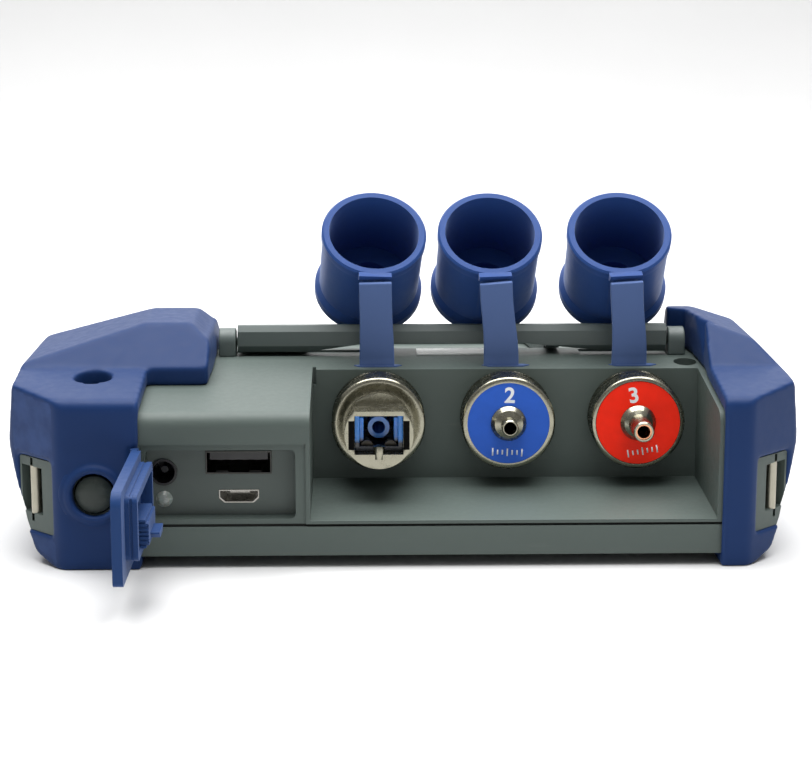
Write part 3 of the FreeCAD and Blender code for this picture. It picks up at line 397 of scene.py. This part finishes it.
def make_mesh(name, bm, smooth=True):
    for f in bm.faces:
        f.smooth = smooth
    mesh = bpy.data.meshes.new(name)
    bm.to_mesh(mesh)
    bm.free()
    return mesh


def add_copy(node, ending, bm):
    """The piece stands in for a CAD node and moves with its body."""
    piece = add_object(node + ending, make_mesh(node + ending, bm))
    set_material(piece, material_for(node))
    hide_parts(node)
    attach(piece, BODY_OF[node])
    return piece


def add_detail(name, bm, node, material, smooth=True):
    """The piece is one that the CAD doesn't have; it moves with the body of a CAD node."""
    bmesh.ops.recalc_face_normals(bm, faces=bm.faces)
    piece = add_object(name, make_mesh(name, bm, smooth))
    set_material(piece, MATERIALS[material])
    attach(piece, BODY_OF[node])


WELD = 2e-6                 # metres; corners closer than this become one
FLAT = math.radians(0.6)    # faces that turn by less are merged


def welded(node):
    bm = bmesh.new()
    bm.from_mesh(NODES[node].data)
    bmesh.ops.remove_doubles(bm, verts=bm.verts, dist=WELD)
    return bm


def copy_of(node):
    """Cleaned mesh of a CAD node: welded, with its flat faces merged."""
    bm = welded(node)
    bmesh.ops.dissolve_limit(bm, angle_limit=FLAT, verts=bm.verts, edges=bm.edges)
    return bm


def block(bm, x0, x1, y0, y1, z0, z1):
    verts = bmesh.ops.create_cube(bm, size=1.0)["verts"]
    for v in verts:
        v.co = Vector(((x0 + x1) / 2 + v.co.x * (x1 - x0), (y0 + y1) / 2 + v.co.y * (y1 - y0),
                       (z0 + z1) / 2 + v.co.z * (z1 - z0)))


def join_rings(bm, rings):
    """Walls between closed rings that all have the same number of corners."""
    for inner, outer in zip(rings, rings[1:]):
        for i in range(len(inner)):
            j = (i + 1) % len(inner)
            bm.faces.new((inner[i], inner[j], outer[j], outer[i]))


def round_edges(piece, width, angle=28.0, segments=3):
    bevel = piece.modifiers.new("edges", "BEVEL")
    bevel.width = width * MM
    bevel.segments = segments
    bevel.limit_method = "ANGLE"
    bevel.angle_limit = math.radians(angle)
    bevel.use_clamp_overlap = True
    bevel.harden_normals = False
    normals = piece.modifiers.new("normals", "WEIGHTED_NORMAL")
    normals.keep_sharp = True
    normals.weight = 80


BROW_R = 3.0                # full round along the top of the connector end
BROW_DEPTH = 1.3            # the CAD's small edge round there lies within this depth
BROW_CHAMFER = 0.7          # its first, flat part
BROW_PARTS = 6              # the flat part takes one of this many parts of the turn
TOP_SLOPE = math.radians(7.2)
SAME = 0.005                # corners this close lie on one line


def round_brow(bm):
    """Spread the small edge round on top of the connector end into a full, soft one."""
    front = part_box("rear_housing")[0].y
    edge_z = max(v.co.z for v in bm.verts if v.co.y < front + SAME * MM)
    band = [v for v in bm.verts if v.co.y < front + BROW_DEPTH * MM and v.co.z > edge_z - SAME * MM]
    last = max(band, key=lambda v: v.co.y).co.copy()
    reach = (last.y - front) / MM
    centre_z = last.z / MM + math.tan(TOP_SLOPE) * (BROW_R - reach) - BROW_R / math.cos(TOP_SLOPE)
    for v in band:
        y = (v.co.y - front) / MM
        if y < BROW_CHAMFER:
            share = y / BROW_CHAMFER / BROW_PARTS
        else:
            share = (1 + (BROW_PARTS - 1) * (y - BROW_CHAMFER) / (reach - BROW_CHAMFER)) / BROW_PARTS
        turn = share * (math.pi / 2 - TOP_SLOPE)
        v.co.y = front + BROW_R * (1 - math.cos(turn)) * MM
        v.co.z = (centre_z + BROW_R * math.sin(turn)) * MM


# nodes that get a copy with bevelled edges, and the width of the bevel
SOFT_EDGES = {
    "rear_housing": 0.35, "front_housing": 0.35, "port_panel": 0.12, "stand": 0.35,
    "stand_pin_left": 0.3, "stand_pin_right": 0.3,
    "port_door": 0.25, "strap_anchor_left": 0.25, "strap_anchor_right": 0.25,
    "power_button": 0.15, "usb_a_shell": 0.06, "micro_usb_socket": 0.06, "otdr_insert": 0.12,
    "cap_otdr": 0.25, "cap_opm": 0.25, "cap_vfl": 0.25,
}


def soften(node, width):
    """Stands a rounded-edge copy of a CAD node in its place."""
    bm = copy_of(node)
    if node == "rear_housing":
        round_brow(bm)
    round_edges(add_copy(node, "_soft", bm), width)


BOOTS = ("boot_front_left", "boot_front_right", "boot_rear_left", "boot_rear_right")
RUBBER_GRAIN = 0.42         # cell of the even mesh that the boots' edges are rounded off on
RUBBER_PASSES = 12          # how often that mesh is relaxed

WELL_IN, WELL_BACK, WELL_R = 16.0, 16.15, 3.6       # screw well from the boot's outer corner
WELL_SHIFT = 1.3            # the moulded well stands clear of the boot's crease
SLAB_END = 0.9              # the slab's inner wall and its edge rounds lie this close to its end
SLAB_GAP = 0.45             # how much closer the soft slab presses to the stand's knuckle
BOOT_TIP, BOOT_BROW_Z, BOOT_CREASE_Z, BOOT_SLOPE_RUN = 0.75, 32.0, 34.75, 18.2


def settle_left_boot(bm):
    """Moves the slab's inner wall to the knuckle and the screw well off the crease."""
    lo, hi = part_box("boot_front_left")
    slope = (BOOT_CREASE_Z - BOOT_BROW_Z) / BOOT_SLOPE_RUN
    well = lo + mm(WELL_IN, WELL_BACK, 0)
    for v in bm.verts:
        if v.co.x > hi.x - SLAB_END * MM:
            v.co.x += SLAB_GAP * MM
        if math.hypot(v.co.x - well.x, v.co.y - well.y) < WELL_R * MM:
            v.co.y -= WELL_SHIFT * MM
            run = (v.co.y - lo.y) / MM - BOOT_TIP
            v.co.z = min(v.co.z - WELL_SHIFT * slope * MM, (BOOT_BROW_Z + run * slope) * MM)


def moulded_rubber(node):
    """Copy of a boot with all its edges rounded off as soft moulded rubber."""
    bm = copy_of(node)
    if node == "boot_front_left":
        settle_left_boot(bm)
    piece = add_copy(node, "_soft", bm)
    remesh = piece.modifiers.new("even", "REMESH")
    remesh.mode = "VOXEL"
    remesh.voxel_size = RUBBER_GRAIN * MM
    remesh.use_smooth_shade = True
    relax = piece.modifiers.new("relax", "SMOOTH")
    relax.factor = 0.5
    relax.iterations = RUBBER_PASSES


PIN_HIDDEN = 1.45           # length of each pin end that sits inside its anchor
PIN_EDGE = 0.1              # bevel at the ends that are left


def visible_pin(node):
    """Copy of a strap pin without the ends that sit inside its anchor."""
    lo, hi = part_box(node)
    bm = copy_of(node)
    for v in bm.verts:
        v.co.z = min(max(v.co.z, lo.z + PIN_HIDDEN * MM), hi.z - PIN_HIDDEN * MM)
    round_edges(add_copy(node, "_shown", bm), PIN_EDGE)


PLUG_ALONG = 18.7           # plug's centre from the door's hinge, along the door
PLUG_HALF_W, PLUG_NEAR, PLUG_FAR = 5.65, 1.2, 4.9
PLUG_TALL, PLUG_FINGERS = 5.4, 7
PLUG_LIFT = 1.0             # the stack's middle above the middle of the micro USB socket
PLUG_CROWN = 0.5            # the outermost fingers are this much shorter
FINGER_HALF = 0.36          # half a finger's height, as a share of the fingers' pitch
FINGER_ROUND = 0.22


def plug_fingers():
    """Rounded fingers of the door's plug, stacked over each other."""
    hinge = Vector(JOINTS["port_door_hinge"]["pos_m"])
    lo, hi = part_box("micro_usb_socket")
    middle = (lo.z + hi.z) / 2 / MM + PLUG_LIFT
    pitch = PLUG_TALL / PLUG_FINGERS
    y0, y1 = -PLUG_ALONG - PLUG_HALF_W, -PLUG_ALONG + PLUG_HALF_W
    bm = bmesh.new()
    for i in range(PLUG_FINGERS):
        z = middle - PLUG_TALL / 2 + pitch * (i + 0.5)
        reach = PLUG_FAR - PLUG_CROWN * (2 * i / (PLUG_FINGERS - 1) - 1) ** 2
        block(bm, PLUG_NEAR, reach, y0, y1, z - pitch * FINGER_HALF, z + pitch * FINGER_HALF)
    for v in bm.verts:
        v.co = Vector((hinge.x, hinge.y, 0)) + v.co * MM
    edges = list(bm.edges)
    bmesh.ops.bevel(bm, geom=edges, offset=FINGER_ROUND * MM, segments=3, profile=0.6, affect="EDGES")
    add_detail("plug_fingers", bm, "port_door", "door_blue")


# the lip's section: distance from the button's axis, depth behind the boot's tip
LIP = ((4.1, 1.4), (4.1, 0.45), (4.3, 0.12), (4.65, 0.02), (5.05, 0.04), (5.4, 0.2), (5.65, 0.48),
       (5.95, 0.68), (6.5, 0.78), (6.6, 1.2))
LIP_CORNERS = 96            # round the axis


def power_collar():
    """Raised lip of the rubber round the power button."""
    lo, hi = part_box("power_button")
    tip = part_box("boot_front_left")[0].y / MM
    axis = Vector(((lo.x + hi.x) / 2, 0, (lo.z + hi.z) / 2))
    angles = [2 * math.pi * i / LIP_CORNERS for i in range(LIP_CORNERS)]
    bm = bmesh.new()
    join_rings(bm, [[bm.verts.new(axis + mm(r * math.cos(a), tip + y, r * math.sin(a))) for a in angles]
                    for r, y in LIP])
    add_detail("power_collar", bm, "boot_front_left", "boot_blue")


# ---------------------------------------------------------------- adapters

KNURL_TEETH = 96            # fine diamond knurl round each adapter
KNURL_DEPTH = 0.224         # of its grooves
KNURL_SLANT = 1.1           # length along the axis in which a groove passes one tooth
KNURL_RINGS, KNURL_CORNERS = 20, 4      # rings along the knurl, corners for each tooth
LAND_FRONT, LAND_BACK = 0.3, 0.5        # plain band before and behind the knurl
LAND_RAMP = 0.15            # in which the knurl comes up to them
BAND_IN = 0.5               # how far the adapter's own wall is set in under the knurled band
BAND_TUCK = 0.2             # how much further in the band's back wall ends
BACK_EASE = 0.1             # the band is this much slimmer at its back
OUTER_WALL = 0.45           # corners this close to the adapter's outside belong to its outer wall
CORE_EDGE = 0.08            # bevel of its other edges
RIM_BEVEL = 0.35            # bevel round the knurled rim
RIM_LAND = 0.9              # flat front of the rim

# the three rings stand in one line; the round adapters begin at the ring's front
BAND_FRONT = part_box("opm_adapter")[0].y


def groove_depth(turn, y):
    """Depth of the two crossing sets of grooves, at a share of the turn and y behind their start."""
    slant = y / KNURL_SLANT
    a = abs(((turn * KNURL_TEETH + slant) % 1.0) * 2 - 1)
    b = abs(((turn * KNURL_TEETH - slant) % 1.0) * 2 - 1)
    return KNURL_DEPTH * (1 - min(a, b))


def knurled_band(port):
    """Thin knurled tube over an adapter's outside, with the rim's bevel."""
    node = port + "_adapter"
    lo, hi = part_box(node)
    axis = Vector(((lo.x + hi.x) / 2, 0, (lo.z + hi.z) / 2))
    radius = (hi.x - lo.x) / 2 / MM
    front, back = BAND_FRONT / MM, hi.y / MM
    start, end = front + RIM_BEVEL + LAND_FRONT, back - LAND_BACK
    # each row: radius, place along the axis, and whether it is knurled
    rows = [(radius - RIM_LAND, front, False), (radius - RIM_BEVEL, front, False),
            (radius, front + RIM_BEVEL, False), (radius, start - LAND_RAMP, False)]
    rows += [(radius, start + (end - start) * i / KNURL_RINGS, True) for i in range(KNURL_RINGS + 1)]
    rows += [(radius, end + LAND_RAMP, False), (radius - BACK_EASE, back, False),
             (radius - BAND_IN - BAND_TUCK, back, False)]
    around = KNURL_TEETH * KNURL_CORNERS
    bm = bmesh.new()
    rings = []
    for r, y, knurled in rows:
        ring = []
        for i in range(around):
            deep = r - (groove_depth(i / around, y - start) if knurled else 0.0)
            angle = 2 * math.pi * i / around
            ring.append(bm.verts.new(axis + mm(deep * math.cos(angle), y, deep * math.sin(angle))))
        rings.append(ring)
    join_rings(bm, rings)
    add_detail(port + "_knurl", bm, node, "nickel_" + port)


def adapter_core(port):
    """Copy of the adapter whose outer wall is set in to carry the knurled band."""
    node = port + "_adapter"
    lo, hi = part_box(node)
    cx, cz = (lo.x + hi.x) / 2, (lo.z + hi.z) / 2
    radius = (hi.x - lo.x) / 2
    bm = welded(node)
    for v in bm.verts:
        dx, dz = v.co.x - cx, v.co.z - cz
        r = math.hypot(dx, dz)
        if r > radius - OUTER_WALL * MM:
            k = (radius - BAND_IN * MM) / r
            v.co.x, v.co.z = cx + dx * k, cz + dz * k
    bmesh.ops.dissolve_degenerate(bm, edges=bm.edges, dist=WELD / 2)
    round_edges(add_copy(node, "_core", bm), CORE_EDGE, angle=35.0, segments=2)


DISC_PRINT = {"opm": ("2", -2.0), "vfl": ("3", 10.0)}   # numeral, and how far its disc is turned in degrees
NUMERAL_TALL = 4.2          # type size of the numeral
NUMERAL_BOLD = 0.10         # how far its strokes are thickened
NUMERAL_UP = 5.4            # numeral above the disc's centre
TICKS, TICK_PITCH, TICK_W = 7, 0.95, 0.28
TICK_LONG, TICK_SHORT = 1.5, 0.95       # every third tick is long
TICKS_DOWN = 0.4            # how much lower the ticks are than the numeral is high
INK = 0.01                  # half the thickness of the print
INK_OUT = 0.012             # the print's middle in front of the disc


def numeral_mesh(name, numeral):
    data = bpy.data.curves.new(name, "FONT")
    data.body = numeral
    data.size = NUMERAL_TALL * MM
    data.align_x = "CENTER"
    data.align_y = "CENTER"
    data.extrude = INK * MM
    data.offset = NUMERAL_BOLD * MM
    text = add_object(name, data)
    bpy.context.view_layer.update()
    mesh = bpy.data.meshes.new_from_object(text)
    bpy.data.objects.remove(text)
    return mesh


def disc_marks(port, numeral, tilt):
    """White print on a disc: a plain numeral above and a row of ticks below."""
    lo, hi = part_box(port + "_disc")
    centre = Vector(((lo.x + hi.x) / 2, lo.y, (lo.z + hi.z) / 2))
    bm = bmesh.new()
    bm.from_mesh(numeral_mesh(port + "_numeral", numeral))
    for v in bm.verts:
        v.co.y += NUMERAL_UP * MM
    for i in range(TICKS):
        tall = TICK_LONG if i % 3 == 0 else TICK_SHORT
        middle = mm((i - TICKS // 2) * TICK_PITCH, -NUMERAL_UP - TICKS_DOWN, 0)
        for v in bmesh.ops.create_cube(bm, size=1.0)["verts"]:
            v.co = middle + mm(v.co.x * TICK_W, v.co.y * tall, v.co.z * INK * 2)
    # drawn flat, then stood up against the disc and turned with it
    c, s = math.cos(math.radians(tilt)), math.sin(math.radians(tilt))
    for v in bm.verts:
        x, up, out = v.co
        v.co = centre + Vector((x * c - up * s, -out - INK_OUT * MM, x * s + up * c))
    marks = add_object(port + "_marks", make_mesh(port + "_marks", bm))
    set_material(marks, MATERIALS["mark_white"])
    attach(marks, BODY_OF[port + "_disc"])


# places from the axis of the square adapter and from its front
SLOT_IN, SLOT_OUT, SLOT_HALF_H = 4.66, 5.78, 2.78   # side slots of the square opening
# depths of the black sheets that are painted shadow in the side slots
SHADE_FRONT, SHADE_BACK = 0.25, 0.45
LATCH_IN, LATCH_OUT, LATCH_TOP = 1.1, 3.4, -1.9     # arched latches on the receptacle's floor
LATCH_FRONT, LATCH_BACK = 4.6, 6.4
LATCH_TALL, LATCH_ARCH, LATCH_STEPS = 1.0, 0.7, 10


def latch_outline(x0, x1):
    """Flat foot and arched top, from the front."""
    steps = [i / LATCH_STEPS for i in range(LATCH_STEPS + 1)]
    arch = [(x0 + (x1 - x0) * t, LATCH_TOP - LATCH_ARCH * (2 * t - 1) ** 2) for t in steps]
    return [(x0, LATCH_TOP - LATCH_TALL)] + arch + [(x1, LATCH_TOP - LATCH_TALL)]


def extrude(bm, outline, y0, y1):
    front = [bm.verts.new((x, y0, z)) for x, z in outline]
    back = [bm.verts.new((x, y1, z)) for x, z in outline]
    bm.faces.new(front)
    bm.faces.new(back[::-1])
    join_rings(bm, [front, back])


def receptacle_details():
    """Black sheets painted as shadow in the side slots, and two arched brown latches by the floor."""
    shades = bmesh.new()
    latches = bmesh.new()
    for side in (-1, 1):
        x0, x1 = sorted((side * SLOT_IN, side * SLOT_OUT))
        block(shades, x0, x1, SHADE_FRONT, SHADE_BACK, -SLOT_HALF_H, SLOT_HALF_H)
        x0, x1 = sorted((side * LATCH_IN, side * LATCH_OUT))
        extrude(latches, latch_outline(x0, x1), LATCH_FRONT, LATCH_BACK)
    tip = port_axis("otdr")
    for name, bm, material in (("otdr_slot_shades", shades, "slot_black"),
                               ("otdr_latches", latches, "latch_brown")):
        for v in bm.verts:
            v.co = tip + v.co * MM
        add_detail(name, bm, "otdr_insert", material, smooth=False)


# ---------------------------------------------------------------- cap straps

STRAP_ROOT_HALF_W, STRAP_FOLD_HALF_W, STRAP_HALF_THICK = 3.45, 3.2, 0.65
STRAP_NARROWED = 0.55       # the ribbon has its lesser width from here up, as a share of its rise
STRAP_STEPS = 36
STRAP_IN_ROOT = 0.12        # share of the steps that run straight down into the root's slot
STRAP_SUNK = 2.4            # depth of its foot below the hinge
STRAP_BOW = 0.45            # how far its middle bows forward
STRAP_ROUND = 0.28


def strap_ribbon(port):
    """One soft ribbon from the root's slot up to the fold, bending sideways in an S."""
    node = "strap_" + port
    fold_joint = JOINTS["cap_%s_hinge" % port]
    foot = Vector(JOINTS["strap_%s_hinge" % port]["pos_m"])
    rise = Vector(fold_joint["pos_m"]) - foot
    axis = Vector(fold_joint["axis"]).normalized()
    root_w, fold_w, thick = STRAP_ROOT_HALF_W * MM, STRAP_FOLD_HALF_W * MM, STRAP_HALF_THICK * MM
    bm = bmesh.new()
    rings = []
    for i in range(STRAP_STEPS + 1):
        t = i / STRAP_STEPS
        sunk = max(0.0, STRAP_IN_ROOT - t) / STRAP_IN_ROOT
        s = max(0.0, (t - STRAP_IN_ROOT) / (1 - STRAP_IN_ROOT))
        bend = s * s * (3 - 2 * s)
        bow = math.sin(math.pi * s) * STRAP_BOW * MM
        centre = foot + Vector((rise.x * bend, rise.y * s - bow, rise.z * s - sunk * STRAP_SUNK * MM))
        half = root_w + (fold_w - root_w) * min(1.0, s / STRAP_NARROWED)
        across = Vector((1, 0, 0)).lerp(axis, bend)
        slope = Vector((0, rise.y - bow, rise.z)).normalized()
        normal = across.cross(slope).normalized()
        rings.append([bm.verts.new(centre + across * half * a + normal * thick * b)
                      for a, b in ((-1, -1), (1, -1), (1, 1), (-1, 1))])
    join_rings(bm, rings)
    bm.faces.new(rings[0])
    bm.faces.new(rings[-1])
    bmesh.ops.recalc_face_normals(bm, faces=bm.faces)
    corners = [e for e in bm.edges if e.calc_face_angle(0) > 1.0]
    bmesh.ops.bevel(bm, geom=corners, offset=STRAP_ROUND * MM, segments=3, profile=0.5, affect="EDGES")
    ribbon = add_object(node + "_ribbon", make_mesh(node + "_ribbon", bm))
    set_material(ribbon, MATERIALS["strap_blue"])
    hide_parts(node)
    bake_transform(ribbon)


# ---------------------------------------------------------------- studio

CAMERA_LENS, CAMERA_SENSOR = 88.7, 36.0
CAMERA_AT = (-8.1, -360.4, 107.8)       # from the middle of the connector end, on the ground
CAMERA_DOWN, CAMERA_TURN = math.radians(11.5), math.radians(1.29)


def aim(obj, place, look):
    """Stands a camera or a light at a place so that it looks along a direction."""
    obj.location = place
    obj.rotation_mode = "QUATERNION"
    obj.rotation_quaternion = look.to_track_quat("-Z", "Y")


def make_camera():
    data = bpy.data.cameras.new("camera")
    data.lens = CAMERA_LENS
    data.sensor_width = CAMERA_SENSOR
    data.clip_start = 0.01
    camera = add_object("camera", data)
    ahead = math.cos(CAMERA_DOWN)
    look = Vector((math.sin(CAMERA_TURN) * ahead, math.cos(CAMERA_TURN) * ahead, -math.sin(CAMERA_DOWN)))
    aim(camera, Vector((0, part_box("rear_housing")[0].y, 0)) + mm(*CAMERA_AT), look)
    bpy.context.scene.camera = camera


# metres: half width, ends behind and in front of the object, height of the walls, their foot's round
FLOOR_HALF_W, WALL_BACK, WALL_FRONT, WALL_TOP, WALL_ROUND = 3.0, 1.6, -2.5, 1.8, 0.5
ROUND_STEPS = 12


def make_floor():
    """Pale floor that curves up into a wall behind and one in front."""
    turns = [math.pi / 2 * i / ROUND_STEPS for i in range(ROUND_STEPS + 1)]
    curve = [(WALL_ROUND * math.sin(a), WALL_ROUND - WALL_ROUND * math.cos(a)) for a in turns]
    profile = [(WALL_FRONT, WALL_TOP)] + [(WALL_FRONT + WALL_ROUND - y, z) for y, z in reversed(curve)]
    profile += [(WALL_BACK - WALL_ROUND + y, z) for y, z in curve] + [(WALL_BACK, WALL_TOP)]
    verts = [(x, y, z) for y, z in profile for x in (-FLOOR_HALF_W, FLOOR_HALF_W)]
    faces = [(2 * i, 2 * i + 1, 2 * i + 3, 2 * i + 2) for i in range(len(profile) - 1)]
    mesh = bpy.data.meshes.new("floor")
    mesh.from_pydata(verts, [], faces)
    for p in mesh.polygons:
        p.use_smooth = True
    floor = add_object("floor", mesh)
    m = Nodes("floor_paint")
    m.colour(m.mix(m.mottle(3.0, 3.0), rgba((0.60, 0.60, 0.60)), rgba((0.63, 0.63, 0.63))))
    m.put(Roughness=0.9)
    set_material(floor, m.mat)


# brightness of the studio round the object, from its horizon up to its ceiling
HORIZON, ZENITH = 0.10, 0.44
CEILING = 0.6               # height of the view's direction from which it is as bright as the ceiling


def make_world():
    world = bpy.data.worlds.new("studio")
    bpy.context.scene.world = world
    world.use_nodes = True
    tree = world.node_tree
    background = tree.nodes["Background"]
    background.inputs["Color"].default_value = (1, 1, 1, 1)
    direction = tree.nodes.new("ShaderNodeTexCoord")
    height = tree.nodes.new("ShaderNodeSeparateXYZ")
    glow = tree.nodes.new("ShaderNodeMapRange")
    for socket, value in (("From Min", 0.0), ("From Max", CEILING), ("To Min", HORIZON), ("To Max", ZENITH)):
        glow.inputs[socket].default_value = value
    tree.links.new(direction.outputs["Generated"], height.inputs[0])
    tree.links.new(height.outputs["Z"], glow.inputs["Value"])
    tree.links.new(glow.outputs[0], background.inputs["Strength"])


# name, place, what it is aimed at and size, all in metres, and power in watts
LIGHTS = (
    ("top_soft", (0.0, 0.16, 1.1), (0, 0.02, 0), (1.3, 0.9), 28.0),
    ("back_soft", (0.0, 1.15, 0.75), (0, 0.1, 0.02), (1.8, 0.8), 9.0),
    ("front_high", (0.1, -0.45, 1.15), (0, 0.02, 0.02), (0.8, 0.5), 5.0),
)


def area_light(name, place, target, size, power):
    data = bpy.data.lights.new(name, "AREA")
    data.shape = "RECTANGLE"
    data.size, data.size_y = size
    data.energy = power
    aim(add_object(name, data), place, Vector(target) - Vector(place))


def main():
    for node, obj in NODES.items():
        set_material(obj, material_for(node))
    for node, width in SOFT_EDGES.items():
        soften(node, width)
    for node in BOOTS:
        moulded_rubber(node)
    for port in PORTS:
        adapter_core(port)
        knurled_band(port)
        strap_ribbon(port)
    receptacle_details()
    power_collar()
    plug_fingers()
    for node in ("strap_pin_left", "strap_pin_right"):
        visible_pin(node)
    for port, (numeral, tilt) in DISC_PRINT.items():
        disc_marks(port, numeral, tilt)
    make_floor()
    make_world()
    for light in LIGHTS:
        area_light(*light)
    make_camera()
    bpy.context.scene.view_settings.view_transform = "Standard"


main()
